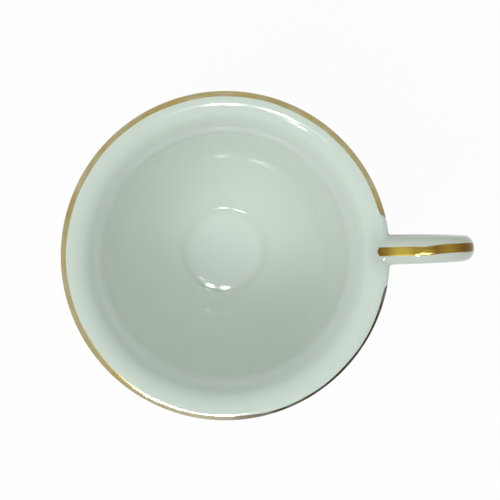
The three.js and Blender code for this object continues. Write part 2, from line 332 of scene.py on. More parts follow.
def glaze_colour(tree, place, cloud):
    """The body's shades, and over them the ring's deeper glaze and painted shade, the lip's painted shade,
    the painted shade of a joint, and the handle's tone and painted shade.
    """
    height = add_node(tree, "ShaderNodeSeparateXYZ", links={0: place}).outputs["Z"]
    towards_lip = add_node(
        tree,
        "ShaderNodeMapRange",
        {**SMOOTH, "From Min": LIP_HEIGHTS[0], "From Max": LIP_HEIGHTS[1]},
        {"Value": height},
    )
    at_joint, on_handle = joint_shares(tree)
    colour = add_node(
        tree,
        "ShaderNodeMix",
        {"data_type": "RGBA", 6: linear(BODY_SHADES[0]), 7: linear(BODY_SHADES[1])},
        {0: cloud},
    ).outputs[2]
    for shade, share in (
        (RING_GLAZE_AND_SHADE, ring_glaze_and_shade(tree, place, height)),
        (LIP_PAINTED_SHADE, towards_lip.outputs[0]),
        (JOINT_PAINTED_SHADE, at_joint),
        (HANDLE_TONE_AND_SHADE, on_handle),
    ):
        colour = add_node(
            tree, "ShaderNodeMix", {"data_type": "RGBA", 7: linear(shade)}, {0: share, 6: colour}
        ).outputs[2]
    return colour


print("ring of deeper glaze at", WELL_RING, "mm")

# %% Celadon glaze
GLAZE_IOR = 1.5
GLAZE_ROUGHNESS = (0.06, 0.09)
CLOUD = 14  # millimetres across a patch of slightly thicker glaze
WAVER = 3.5  # millimetres across a wave of the skin
WAVER_DEPTH = 0.004


def celadon_glaze(name):
    """Glazed porcelain."""
    material, tree, shader = new_material(name)
    place = cup_coordinates(tree)
    cloud = add_node(tree, "ShaderNodeTexNoise", {"Scale": 1 / CLOUD, "Detail": 2}, {"Vector": place})
    skin = add_node(tree, "ShaderNodeTexNoise", {"Scale": 1 / WAVER, "Detail": 1}, {"Vector": place})
    bump = add_node(
        tree,
        "ShaderNodeBump",
        {"Strength": 1.0, "Distance": WAVER_DEPTH * MM},
        {"Height": skin.outputs[0]},
    )
    gloss = add_node(
        tree,
        "ShaderNodeMapRange",
        {"To Min": GLAZE_ROUGHNESS[0], "To Max": GLAZE_ROUGHNESS[1]},
        {"Value": cloud.outputs[0]},
    )
    shader.inputs["IOR"].default_value = GLAZE_IOR
    tree.links.new(glaze_colour(tree, place, cloud.outputs[0]), shader.inputs["Base Color"])
    tree.links.new(gloss.outputs[0], shader.inputs["Roughness"])
    tree.links.new(bump.outputs[0], shader.inputs["Normal"])
    return material


glaze = celadon_glaze("celadon_glaze")
print("finish", glaze.name, len(glaze.node_tree.nodes), "nodes")

# %% [markdown]
# ## Finish: bare foot
#
# The edge that a cup stands on is wiped clean before firing, or the glaze would weld it to the kiln
# shelf. The foot ring is glazed like the rest down to a slightly uneven line, and below that the
# porcelain is bare: dull, a little warmer and as fine as an eggshell.

# %% Bare foot
BARE_SHADES = ("#DAD6CB", "#CFCABD")
BARE_ROUGHNESS = 0.75
BARE_LINE = 0.75  # height of the glaze's edge, in millimetres
BARE_UNEVEN = 0.3  # how far the edge wanders up and down
BARE_WANDER = 4  # millimetres across a wave of the edge
BARE_SOFT = 0.08  # how far the glaze thins out to either side of its edge
BARE_GRAIN = 0.25  # millimetres across a grain

foot_glaze = celadon_glaze("celadon_glaze_bare_foot")
tree = foot_glaze.node_tree
shader = tree.nodes["Principled BSDF"]
place = cup_coordinates(tree)
height = add_node(tree, "ShaderNodeSeparateXYZ", links={0: place}).outputs["Z"]
wander = add_node(tree, "ShaderNodeTexNoise", {"Scale": 1 / BARE_WANDER, "Detail": 2}, {"Vector": place})
raised = add_node(
    tree,
    "ShaderNodeMath",
    {"operation": "MULTIPLY_ADD", 1: -2 * BARE_UNEVEN},
    {0: wander.outputs[0], 2: height},
)
bare = add_node(
    tree,
    "ShaderNodeMapRange",
    {
        **SMOOTH,
        "From Min": BARE_LINE - BARE_UNEVEN - BARE_SOFT,
        "From Max": BARE_LINE - BARE_UNEVEN + BARE_SOFT,
        "To Min": 1.0,
        "To Max": 0.0,
    },
    {"Value": raised.outputs[0]},
)
grain = add_node(tree, "ShaderNodeTexNoise", {"Scale": 1 / BARE_GRAIN, "Detail": 3}, {"Vector": place})
glazed_colour = shader.inputs["Base Color"].links[0].from_socket
glazed_gloss = shader.inputs["Roughness"].links[0].from_socket
bare_colour = add_node(
    tree,
    "ShaderNodeMix",
    {"data_type": "RGBA", 6: linear(BARE_SHADES[0]), 7: linear(BARE_SHADES[1])},
    {0: grain.outputs[0]},
)
colour = add_node(
    tree,
    "ShaderNodeMix",
    {"data_type": "RGBA"},
    {0: bare.outputs[0], 6: glazed_colour, 7: bare_colour.outputs[2]},
)
gloss = add_node(
    tree, "ShaderNodeMix", {"data_type": "FLOAT", 3: BARE_ROUGHNESS}, {0: bare.outputs[0], 2: glazed_gloss}
)
tree.links.new(colour.outputs[2], shader.inputs["Base Color"])
tree.links.new(gloss.outputs[0], shader.inputs["Roughness"])
print("finish", foot_glaze.name)

# %% [markdown]
# ## Finish: burnished gold
#
# Liquid gold is banded on with a brush over the fired glaze, fired again and rubbed bright. It is a
# true metal film, so it has no colour but that of its reflection. The brush leaves fine streaks along
# the line. Where hands and lips have worn the film thin the glaze shows through. The gold is also
# darkened, to brown and then to grey: a little all over, more at the ends of the line, and most where
# the brush ran dry on the lip and in bands along the stripe, where the darkening is a painted dark
# reflection.
#
# All this follows the stroke and not the axes, so each gold piece carries attributes. "stroke" is
# millimetres along and across its line, "film" is how whole the gold is, and a third is how far it
# is darkened by tarnish and painted dark reflection.

# %% Shades of the gold
GOLD_SHADES = ("#96822F", "#D6BC58")
# brown and grey that the gold is darkened towards: partly tarnish, mostly painted dark reflection
GOLD_BROWN_TARNISH_AND_REFLECTION = "#6E4E1C"
GOLD_GREY_TARNISH_AND_REFLECTION = "#37322C"
BROWN_AT = 0.5  # darkening at which the gold is brown all through
STREAK_LENGTH = 9  # millimetres
STREAK_WIDTH = 0.22  # a bristle's own mark is finer, and wouldn't show
STREAK_LEVELS = (0.3, 0.7)  # of the noise, drawn apart to the two shades

gold, tree, shader = new_material("burnished_gold")
stroke = add_node(tree, "ShaderNodeAttribute", {"attribute_name": "stroke"}).outputs["Vector"]
tarnish_and_dark_reflection = add_node(tree, "ShaderNodeAttribute", {"attribute_name": "tarnish_and_dark_reflection"}).outputs["Fac"]
drawn = add_node(
    tree,
    "ShaderNodeMapping",
    {"Scale": (1 / STREAK_LENGTH, 1 / STREAK_WIDTH, 1)},
    {"Vector": stroke},
)
streak = add_node(
    tree, "ShaderNodeTexNoise", {"Scale": 1.0, "Detail": 3, "Roughness": 0.6}, {"Vector": drawn.outputs[0]}
)
banded = add_node(
    tree,
    "ShaderNodeMapRange",
    {"From Min": STREAK_LEVELS[0], "From Max": STREAK_LEVELS[1]},
    {"Value": streak.outputs[0]},
)
gold_colour = add_node(
    tree,
    "ShaderNodeMix",
    {"data_type": "RGBA", 6: linear(GOLD_SHADES[0]), 7: linear(GOLD_SHADES[1])},
    {0: banded.outputs[0]},
).outputs[2]
for shade, bound in ((GOLD_BROWN_TARNISH_AND_REFLECTION, "From Max"), (GOLD_GREY_TARNISH_AND_REFLECTION, "From Min")):
    share = add_node(tree, "ShaderNodeMapRange", {bound: BROWN_AT}, {"Value": tarnish_and_dark_reflection})
    gold_colour = add_node(
        tree,
        "ShaderNodeMix",
        {"data_type": "RGBA", 7: linear(shade)},
        {0: share.outputs[0], 6: gold_colour},
    ).outputs[2]
print("streaks", STREAK_WIDTH, "mm wide and", STREAK_LENGTH, "mm long")

# %% Burnished gold
GOLD_ROUGHNESS = (0.11, 0.15)
PATCH = 3.0  # millimetres across a patch of thinner or thicker film
PATCH_LEVELS = (0.35, 0.65)  # of the noise
PATCH_DEPTH = 0.08

film = add_node(tree, "ShaderNodeAttribute", {"attribute_name": "film"}).outputs["Fac"]
patch = add_node(tree, "ShaderNodeTexNoise", {"Scale": 1 / PATCH, "Detail": 2}, {"Vector": stroke})
mottle = add_node(
    tree,
    "ShaderNodeMapRange",
    {
        "From Min": PATCH_LEVELS[0],
        "From Max": PATCH_LEVELS[1],
        "To Min": -PATCH_DEPTH,
        "To Max": PATCH_DEPTH,
    },
    {"Value": patch.outputs[0]},
)
cover = add_node(
    tree, "ShaderNodeMath", {"operation": "ADD", "use_clamp": True}, {0: film, 1: mottle.outputs[0]}
)
seen = add_node(
    tree,
    "ShaderNodeMix",
    {"data_type": "RGBA", 6: linear(LIP_PAINTED_SHADE)},
    {0: cover.outputs[0], 7: gold_colour},
)
rubbed = add_node(
    tree,
    "ShaderNodeMapRange",
    {"To Min": GOLD_ROUGHNESS[0], "To Max": GOLD_ROUGHNESS[1]},
    {"Value": streak.outputs[0]},
)
tree.links.new(cover.outputs[0], shader.inputs["Metallic"])
tree.links.new(seen.outputs[2], shader.inputs["Base Color"])
tree.links.new(rubbed.outputs[0], shader.inputs["Roughness"])
print("finish", gold.name, len(tree.nodes), "nodes")

# %% [markdown]
# ## Curves and lathe work
#
# The bowl is a turned shape, so its section is drawn once, as a Bezier curve from the axis out over
# the floor, up the inside, round the lip and down the outside to the axis again. Made a mesh, the
# section is spun round the axis. A lathe in a modifier would do the same. Spin is used because the
# section's points are then also at hand for the pieces that sit on the bowl.

# %% Helpers for turned pieces
ROUND_STEPS = 160
MERGE_DISTANCE = 0.005  # millimetres, for points that meet


def finish_piece(piece, node, material):
    """Give a piece its finish, hang it on the root body, and hide the imported solid that it stands for."""
    piece.data.materials.clear()
    piece.data.materials.append(material)
    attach(piece, "root")
    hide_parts(node)
    print(piece.name, len(piece.data.polygons), "faces for", node)


def draw_curve(name, knots, steps):
    """A Bezier curve in the plane of the handle, as a mesh of edges and as points (out, up) along it.
    A knot is the point with the handle before it and the handle after it, in millimetres."""
    bpy.ops.object.select_all(action="DESELECT")
    bpy.ops.curve.primitive_bezier_curve_add(location=(0, 0, 0))
    curve = bpy.context.object
    curve.name = name
    curve.data.resolution_u = steps
    spline = curve.data.splines[0]
    spline.bezier_points.add(len(knots) - len(spline.bezier_points))
    for point, (before, middle, after) in zip(spline.bezier_points, knots):
        point.handle_left_type = point.handle_right_type = "FREE"
        point.handle_left = placed((before[0], 0, before[1]))
        point.co = placed((middle[0], 0, middle[1]))
        point.handle_right = placed((after[0], 0, after[1]))
    bpy.ops.object.convert(target="MESH")
    curve = bpy.context.object
    points = np.array([((v.co.x - AXIS_X) / MM, v.co.z / MM) for v in curve.data.vertices])
    return curve, points


def spin_round():
    """Spin the section at hand round the cup's axis into a closed, smooth piece."""
    bpy.ops.object.mode_set(mode="EDIT")
    bpy.ops.mesh.select_all(action="SELECT")
    bpy.ops.mesh.spin(steps=ROUND_STEPS, angle=2 * math.pi, center=(AXIS_X, 0, 0), axis=(0, 0, 1))
    bpy.ops.mesh.select_all(action="SELECT")
    bpy.ops.mesh.remove_doubles(threshold=MERGE_DISTANCE * MM)
    bpy.ops.mesh.normals_make_consistent(inside=False)
    bpy.ops.object.mode_set(mode="OBJECT")
    bpy.ops.object.shade_smooth()


print("turned pieces have", ROUND_STEPS, "steps round")

# %% [markdown]
# ## Bowl
#
# The wall is about two millimetres thick all the way, so the outside follows the inside. The floor is
# a low dome with a shallow groove round it, which is the crisp ring that shows in the bottom of the
# cup. The flare runs out level to the crest of the lip, which then rolls over to its edge.

# %% Sizes of the bowl
FLOOR_TOP = 7.0
FLOOR_FLAT = 4.9  # radius of the level middle
SHOULDER = (9.25, 6.54)  # where the floor has rounded off into the groove
SHOULDER_SLOPE = -math.tan(math.radians(12))
GROOVE = (9.33, 6.525)
BELLY_START = (9.58, 6.58)
BELLY_SLOPE = math.tan(math.radians(18))
THROAT = (24.9, 40.0)
THROAT_LEAN = math.tan(math.radians(4.5))  # how the wall leans out there
THROAT_PULLS = (18.0, 5.0)  # how far down and up from there it keeps that lean
OUTER_PULLS = (15.5, 6.0)  # the same outside
WALL = 2.3
FLARE_REACH = 6.3  # how far the flare runs level before the crest of the lip
UNDER_REACH = 3.9  # how far the underside of the lip runs level
LIP_ROUND = 1.05  # half the thickness of the lip
LIP_ROLL = 1.34  # from the crest out to the edge
QUARTER_ARC = 0.5523  # handle length of a quarter round of radius 1
NECK_START = (16.8, 8.31)  # where the belly turns into the neck
NECK_HANDLES = ((22.4, 12.9), (15.47, 7.64))  # the curve leans towards these before and after it
NECK_UPRIGHT = 6.0  # the neck stands upright up to about this height
BASE_EDGE = 11.5  # the underside is level down to this radius, and rises a little to the axis
BASE_RISE = 0.2
BASE_HANDLES = (12.0, 6.0, 4.0)  # radius of each of its handles, from the edge in
BOWL_STEPS = 14

lip_crest = LIP_EDGE - LIP_ROLL
lip_centre = LIP_EDGE - LIP_ROUND
roll, drop = LIP_ROLL * QUARTER_ARC, LIP_ROUND * QUARTER_ARC
lip_middle = LIP_TOP - LIP_ROUND
lip_under = LIP_TOP - 2 * LIP_ROUND
base_top = BOWL_BASE + BASE_RISE
outer_throat = (THROAT[0] + WALL, THROAT[1])
print(f"lip {2 * LIP_ROUND:.1f} mm thick, its crest {lip_crest:.2f} mm from the axis")

# %% Section of the bowl


def leaning(place, rise):
    """A point on the line that the wall follows at its throat."""
    return place[0] + rise * THROAT_LEAN, place[1] + rise


def sloping(place, run, slope):
    """A point on the line of a slope through a place."""
    return place[0] + run, place[1] + run * slope


def knot(place, slope, before, after):
    """A knot of a curve that passes through a place at a slope, with how far its handles run before
    and after it. They are negative where the curve runs back towards the axis."""
    return sloping(place, -before, slope), place, sloping(place, after, slope)


bowl_knots = [
    knot((0, FLOOR_TOP), 0, before=0, after=2.5),
    knot((FLOOR_FLAT, FLOOR_TOP), 0, before=1.6, after=1.45),
    knot(SHOULDER, SHOULDER_SLOPE, before=1.45, after=0.04),
    knot(GROOVE, 0, before=0.03, after=0.04),
    knot(BELLY_START, BELLY_SLOPE, before=0.12, after=8.6),
    (leaning(THROAT, -THROAT_PULLS[0]), THROAT, leaning(THROAT, THROAT_PULLS[1])),
    knot((lip_crest, LIP_TOP), 0, before=FLARE_REACH, after=roll),
    ((LIP_EDGE, lip_middle + drop), (LIP_EDGE, lip_middle), (LIP_EDGE, lip_middle - drop)),
    knot((lip_centre, lip_under), 0, before=-drop, after=-UNDER_REACH),
    (leaning(outer_throat, OUTER_PULLS[1]), outer_throat, leaning(outer_throat, -OUTER_PULLS[0])),
    (NECK_HANDLES[0], NECK_START, NECK_HANDLES[1]),
    ((NECK_RADIUS, NECK_UPRIGHT), (NECK_RADIUS, BOWL_BASE), (NECK_RADIUS, BOWL_BASE)),
    ((BASE_HANDLES[0], BOWL_BASE), (BASE_EDGE, BOWL_BASE), (BASE_HANDLES[1], BOWL_BASE + BASE_RISE / 2)),
    ((BASE_HANDLES[2], base_top), (0, base_top), (0, base_top)),
]
bowl, section = draw_curve("cup_bowl", bowl_knots, BOWL_STEPS)
print("section of", len(section), "points")

# %% Bowl
spin_round()
finish_piece(bowl, "bowl", glaze)

# %% [markdown]
# ## Skin of the bowl
#
# The handle's roots and the gold line have to lie exactly on the bowl. A point of its skin is known
# by how far along the section it is and how far round the axis, so this function is a ruler laid over
# the lip: zero is the outermost edge, negative is over the top and down inside, positive is under it.

# %% A ruler on the bowl's skin


def lengths_along(points):
    """How far along a row of points each one is."""
    return np.concatenate([[0], np.cumsum(np.linalg.norm(np.diff(points, axis=0), axis=1))])


lengths = lengths_along(section)
lengths -= lengths[np.argmax(section[:, 0])]
slopes = np.gradient(section, axis=0) / np.linalg.norm(np.gradient(section, axis=0), axis=1)[:, None]


def on_bowl(along, around, lift=0.0):
    """Points on the bowl's skin, or lifted off it, from distances along the section and angles round."""
    radius = np.interp(along, lengths, section[:, 0]) - lift * np.interp(along, lengths, slopes[:, 1])
    height = np.interp(along, lengths, section[:, 1]) + lift * np.interp(along, lengths, slopes[:, 0])
    return np.stack([radius * np.cos(around), radius * np.sin(around), height + 0 * around], axis=-1)


def along_outside(height):
    """How far along the section its outside is at a height."""
    outside = lengths > 0
    return float(np.interp(-height, -section[outside, 1], lengths[outside]))


print(f"{-lengths[0]:.1f} mm of skin inside the lip's edge, {lengths[-1]:.1f} mm outside it")

# %% [markdown]
# ## Foot ring
#
# A separate ring, turned and luted on while the clay is damp. Its section starts as a plane stood
# upright: its corners are pulled to the ring's size, the two lower ones are rounded with a bevel, and
# its outline alone is spun.

# %% Foot ring
FOOT_INNER_TOP = 12.4
FOOT_INNER_BASE = 12.9
FOOT_ROUNDING = 0.55
ROUNDING_STEPS = 5
START_SIZE = 0.01  # metres, for a shape whose points are all set afterwards
NEAR = 0.1  # millimetres, for picking points by their place
SHARP_EDGE = math.radians(35)  # an edge that turns by less is shaded smooth


def upright_plane(name, corners):
    """A plane with its four corners set to points (out, up) in the plane of the handle."""
    bpy.ops.object.select_all(action="DESELECT")
    bpy.ops.mesh.primitive_plane_add(size=START_SIZE, location=(0, 0, 0))
    piece = bpy.context.object
    piece.name = name
    order = [0, 1, 3, 2]  # a plane's corners go row by row, and these go round
    for index, (out, up) in zip(order, corners):
        piece.data.vertices[index].co = placed((out, 0, up))
    return piece


def spin_outline():
    """Spin only the outline of the plane that is being edited, and keep its sharp edges."""
    bpy.ops.mesh.select_all(action="SELECT")
    bpy.ops.mesh.delete(type="ONLY_FACE")
    bpy.ops.object.mode_set(mode="OBJECT")
    spin_round()
    bpy.ops.object.shade_smooth_by_angle(angle=SHARP_EDGE)


foot = upright_plane(
    "cup_foot_ring",
    [(FOOT_INNER_BASE, 0), (FOOT_RADIUS, 0), (NECK_RADIUS, FOOT_TOP), (FOOT_INNER_TOP, FOOT_TOP)],
)
bpy.ops.object.mode_set(mode="EDIT")
bpy.ops.mesh.select_all(action="DESELECT")
edit = bmesh.from_edit_mesh(foot.data)
for vertex in edit.verts:
    vertex.select_set(vertex.co.z < NEAR * MM)
edit.select_flush(False)
bmesh.update_edit_mesh(foot.data)
bpy.ops.mesh.bevel(affect="VERTICES", offset=FOOT_ROUNDING * MM, segments=ROUNDING_STEPS)
spin_outline()
finish_piece(foot, "foot_ring", foot_glaze)

# %% [markdown]
# ## Slip under the bowl
#
# The joint between foot and bowl is a line of liquid clay, squeezed out a little on the inside and
# wiped into a hollow fillet. It starts as a plane like the foot. Its inner edge is divided and the
# new points are pressed in towards the corner.

# %% Foot slip
FILLET_START = (11.5, BOWL_BASE + 0.03)  # just inside the bowl, so that no gap shows
FILLET_END = (FOOT_INNER_TOP, FOOT_TOP - 0.15)  # on the inside of the foot ring
FILLET_POINTS = 7
FILLET_SAG = 0.22
SAG_TOWARDS = (0.6, 0.8)  # out and up, into the corner

foot_slip = upright_plane(
    "cup_foot_slip", [FILLET_END, (NECK_RADIUS, FOOT_TOP), (NECK_RADIUS, BOWL_BASE), FILLET_START]
)
bpy.ops.object.mode_set(mode="EDIT")
bpy.ops.mesh.select_mode(type="EDGE")
bpy.ops.mesh.select_all(action="DESELECT")
edit = bmesh.from_edit_mesh(foot_slip.data)
for edge in edit.edges:
    edge.select_set(max(v.co.x for v in edge.verts) < AXIS_X + (FOOT_INNER_TOP + NEAR) * MM)
bmesh.update_edit_mesh(foot_slip.data)
bpy.ops.mesh.subdivide(number_cuts=FILLET_POINTS)
edit = bmesh.from_edit_mesh(foot_slip.data)
for vertex in edit.verts:
    share = ((vertex.co.x - AXIS_X) / MM - FILLET_START[0]) / (FILLET_END[0] - FILLET_START[0])
    if 0 < share < 1:
        sag = 4 * share * (1 - share) * FILLET_SAG * MM
        vertex.co.x += sag * SAG_TOWARDS[0]
        vertex.co.z += sag * SAG_TOWARDS[1]
bmesh.update_edit_mesh(foot_slip.data)
bpy.ops.mesh.select_mode(type="VERT")
spin_outline()
finish_piece(foot_slip, "foot_slip", glaze)

# %% [markdown]
# ## Handle
#
# The handle is cast in its own mould: a strap with a soft oval section that swings up off the lip,
# round and back to the wall. A curve with a bevel would give the strap, but not the roots, which have
# to flow into the bowl. So a circle is extruded section by section, and each new ring of points is
# set square to the middle line of the loop.

# %% Helper for swept pieces
SHARP_SWEPT_EDGE = math.radians(60)  # an edge that turns by more stays sharp


def sweep(name, rings):
    """Extrude a circle from ring to ring of points, in millimetres, and close both ends."""
    count = len(rings[0])
    bpy.ops.object.select_all(action="DESELECT")
    bpy.ops.mesh.primitive_circle_add(vertices=count, radius=START_SIZE, location=(0, 0, 0))
    piece = bpy.context.object
    piece.name = name
    bpy.ops.object.mode_set(mode="EDIT")
    bpy.ops.mesh.select_all(action="SELECT")
    for row, ring in enumerate(rings):
        if row:
            bpy.ops.mesh.extrude_edges_indiv()
        edit = bmesh.from_edit_mesh(piece.data)
        edit.verts.ensure_lookup_table()
        for vertex, point in zip(edit.verts[row * count :], placed(ring)):
            vertex.co = point
        bmesh.update_edit_mesh(piece.data)
    bpy.ops.mesh.edge_face_add()
    bpy.ops.mesh.select_all(action="DESELECT")
    edit = bmesh.from_edit_mesh(piece.data)
    edit.verts.ensure_lookup_table()
    for vertex in edit.verts[:count]:
        vertex.select_set(True)
    edit.select_flush(True)
    bmesh.update_edit_mesh(piece.data)
    bpy.ops.mesh.edge_face_add()
    bpy.ops.mesh.select_all(action="SELECT")
    bpy.ops.mesh.normals_make_consistent(inside=False)
    bpy.ops.object.mode_set(mode="OBJECT")
    bpy.ops.object.shade_smooth_by_angle(angle=SHARP_SWEPT_EDGE)
    return piece


# %% Middle line of the loop
STRAP_THICKNESS = 4.2
STRAP_OVER = 0.2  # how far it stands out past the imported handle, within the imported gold
RISE = math.tan(math.radians(19))
KNEE = (38.2, 55.65)  # straight up to here, then over the crest
TIP_OUT = 29.0  # inside the lip, where the middle line starts
TIP = (TIP_OUT, KNEE[1] - (KNEE[0] - TIP_OUT) * RISE)
CREST = (41.5, 56.13)
OUTERMOST = (HANDLE_REACH + STRAP_OVER - STRAP_THICKNESS / 2, 50.0)
LOWER_TIP = (23.5, 20.0)  # in the wall, where it ends
LOWER_SLOPE = math.tan(math.radians(18))
QUARTER = 0.55  # handle length that makes a quarter turn
PATH_STEPS = 60

over_crest = (OUTERMOST[0] - CREST[0]) * QUARTER
up_to_crest = (CREST[1] - OUTERMOST[1]) * QUARTER
down_to_root = (OUTERMOST[1] - LOWER_TIP[1]) * QUARTER
out_from_root = (OUTERMOST[0] - LOWER_TIP[0]) * QUARTER
path_knots = [
    knot(TIP, RISE, before=0, after=3.0),
    knot(KNEE, RISE, before=3.0, after=1.1),
    knot(CREST, 0, before=1.1, after=over_crest),
    ((OUTERMOST[0], OUTERMOST[1] + up_to_crest), OUTERMOST, (OUTERMOST[0], OUTERMOST[1] - down_to_root)),
    knot(LOWER_TIP, LOWER_SLOPE, before=-out_from_root, after=0),
]
path = draw_curve("loop_guide", path_knots, PATH_STEPS)[1]
bpy.ops.object.delete()  # only its points are wanted
path_lengths = lengths_along(path)
path_slopes = np.gradient(path, path_lengths, axis=0)
print(f"middle line {path_lengths[-1]:.1f} mm long")

# %% Sections of the strap
SECTION_STEPS = 56
SQUARENESS = 2.2  # 2 is an oval, and more is squarer
ROOT_WIDTH = 5.6
BEND_WIDTH = 5.25
ACROSS = np.array((0, 1, 0))
TURNS = np.linspace(0, 2 * np.pi, SECTION_STEPS, endpoint=False)

widest = np.sign(np.cos(TURNS)) * np.abs(np.cos(TURNS)) ** (2 / SQUARENESS)
tallest = np.sign(np.sin(TURNS)) * np.abs(np.sin(TURNS)) ** (2 / SQUARENESS)


def path_frame(distance):
    """Middle point, forward direction and direction to the back of the strap, along the loop."""
    middle = np.array([np.interp(distance, path_lengths, path[:, i]) for i in (0, 1)])
    forward = np.array([np.interp(distance, path_lengths, path_slopes[:, i]) for i in (0, 1)])
    forward = np.array((forward[0], 0, forward[1])) / np.linalg.norm(forward)
    return np.array((middle[0], 0, middle[1])), forward, np.cross(forward, ACROSS)


def strap_ring(distance):
    """Points round the strap at a distance along the loop."""
    middle, _, outer = path_frame(distance)
    out = np.clip((middle[0] - LIP_EDGE) / (OUTERMOST[0] - LIP_EDGE), 0, 1)
    half_width = (ROOT_WIDTH + (BEND_WIDTH - ROOT_WIDTH) * out) / 2
    return middle + np.outer(widest * half_width, ACROSS) + np.outer(tallest * STRAP_THICKNESS / 2, outer)


print(f"strap {ROOT_WIDTH} mm wide at the lip, {BEND_WIDTH} mm at its bend, {STRAP_THICKNESS} mm thick")

# %% Strap of the handle
UPPER_CUT = 1.0  # how far out from the lip the strap ends
LOWER_CUT = 2.0  # how far out from the wall, at the middle of the strap
STRAP_STEPS = 80


def store(piece, name, values):
    """Keep a number for each point of a piece, which its finish can read."""
    attribute = piece.data.attributes.new(name, "FLOAT", "POINT")
    attribute.data.foreach_set("value", np.ravel(values).astype(np.float32))


turning = int(np.argmax(path[:, 0]))
upper_end = float(np.interp(LIP_EDGE + UPPER_CUT, path[:turning, 0], path_lengths[:turning]))
lower_wall = float(np.interp(along_outside(LOWER_TIP[1]), lengths, section[:, 0]))
lower_end = float(np.interp(-(lower_wall + LOWER_CUT), -path[turning:, 0], path_lengths[turning:]))
strap_rings = [strap_ring(d) for d in np.linspace(upper_end, lower_end, STRAP_STEPS)]
strap = sweep("cup_handle", strap_rings)
store(strap, "joint", np.ones(STRAP_STEPS * SECTION_STEPS))
finish_piece(strap, "handle", glaze)

# %% [markdown]
# ## Roots of the handle
#
# Where the strap meets the bowl, slip is worked round the joint with a wet brush until the two flow
# together. Each root is swept from the last ring of the strap to a ring that lies on the bowl's own
# skin. In between every point follows a curve that leaves along the strap and arrives along the bowl,
# so no seam shows, as on the glazed cup.

# %% Helpers for the roots
ROOT_STEPS = 24
SIZE_STEP = 0.01  # for telling which way a ring on the bowl spreads


def flow(start, start_run, end, end_run, share):
    """Points part of the way along curves that leave with one run and arrive with another."""
    a = 2 * share**3 - 3 * share**2 + 1
    b = share**3 - 2 * share**2 + share
    c = -2 * share**3 + 3 * share**2
    d = share**3 - share**2
    return a * start + b * start_run + c * end + d * end_run


def root_rings(strap_end, inwards, bowl_ring, leave, arrive):
    """Rings from the strap's end to a ring on the bowl, given as a function of its size. Each point
    leaves along the strap and arrives along the bowl with as much pull as the two shares say."""
    end = bowl_ring(1.0)
    spread = bowl_ring(1 + SIZE_STEP) - bowl_ring(1 - SIZE_STEP)
    spread /= np.linalg.norm(spread, axis=1)[:, None]
    reach = np.linalg.norm(end - strap_end, axis=1)[:, None]
    return [
        flow(strap_end, inwards * reach * leave, end, spread * reach * arrive, share)
        for share in np.linspace(0, 1, ROOT_STEPS)
    ]


def carry_joint(piece, rings):
    """Store on a root how far each point is from the bowl's skin, as a share of the way to the strap."""
    away = np.linalg.norm(np.array(rings) - rings[-1], axis=2)
    store(piece, "joint", away / away[0])


print("a root has", ROOT_STEPS, "rings")

# %% Upper root
UPPER_REACH_IN = 4.9  # along the lip's skin, from its edge over the top
UPPER_REACH_UNDER = 6.5
UPPER_HALF = (3.7, 3.0)  # along the lip's edge, to the back and to the front of the strap
UPPER_FAN = (6.4, 5.0)  # the same on top of the lip, where the slip fans out
NOSE = 2.2  # how long the top of the strap keeps its height over the lip
NOSE_FOOT = 0.2  # how softly it then meets the lip
SIDE_PULL = 0.7  # the same two at the sides


def upper_ring(size):
    """Points round the upper root on the skin of the lip."""
    reach = np.where(np.sin(TURNS) > 0, UPPER_REACH_IN, UPPER_REACH_UNDER)
    at_edge = np.where(np.cos(TURNS) > 0, *UPPER_HALF)
    fanned = np.where(np.cos(TURNS) > 0, *UPPER_FAN)
    half = at_edge + (fanned - at_edge) * np.clip(np.sin(TURNS), 0, 1)
    return on_bowl(-reach * np.sin(TURNS) * size, half * np.cos(TURNS) * size / LIP_EDGE)


on_back = np.clip(np.sin(TURNS), 0, 1)[:, None]
leave = SIDE_PULL + (NOSE - SIDE_PULL) * on_back
arrive = SIDE_PULL + (NOSE_FOOT - SIDE_PULL) * on_back
upper_rings = root_rings(strap_rings[0], -path_frame(upper_end)[1], upper_ring, leave, arrive)
upper_root = sweep("cup_handle_upper_root", upper_rings)
carry_joint(upper_root, upper_rings)
finish_piece(upper_root, "handle_upper_slip", glaze)

# %% Lower root
LOWER_REACH = 3.6  # up and down the wall
LOWER_HALF = 3.7
LOWER_PULL = 1.0


def lower_ring(size):
    """Points round the lower root on the skin of the wall."""
    along = along_outside(LOWER_TIP[1]) + LOWER_REACH * np.sin(TURNS) * size
    return on_bowl(along, LOWER_HALF * np.cos(TURNS) * size / lower_wall)


lower_rings = root_rings(strap_rings[-1], path_frame(lower_end)[1], lower_ring, LOWER_PULL, LOWER_PULL)
lower_root = sweep("cup_handle_lower_root", lower_rings)
carry_joint(lower_root, lower_rings)
finish_piece(lower_root, "handle_lower_slip", glaze)

# %% [markdown]
# The painted shade round the upper root reaches onto the lip too, so the bowl carries a little of
# the joint there, fading out to either side.

# %% Painted shade round the upper root
ROOT_SHADE_MIDDLE = 31.2  # how far from the axis the painted shade is darkest
ROOT_SHADE_SIZE = (2.6, 4.6)  # how far it fades out along the handle and across it
ROOT_SHADE_LEVEL = 0.33
ROOT_SHADE_BOTTOM = 48  # none below this height

places = np.empty(3 * len(bowl.data.vertices))
bowl.data.vertices.foreach_get("co", places)
out, aside, up = (places.reshape(-1, 3).T - np.array([[AXIS_X], [0], [0]])) / MM
off_middle = (np.hypot(out, aside) - ROOT_SHADE_MIDDLE) / ROOT_SHADE_SIZE[0]
root_shade = np.exp(-(off_middle**2) - (aside / ROOT_SHADE_SIZE[1]) ** 2)
root_shade *= ROOT_SHADE_LEVEL * (out > 0) * (up > ROOT_SHADE_BOTTOM)
store(bowl, "joint", root_shade)
print(f"joint reaches {root_shade.max():.2f} on the bowl")

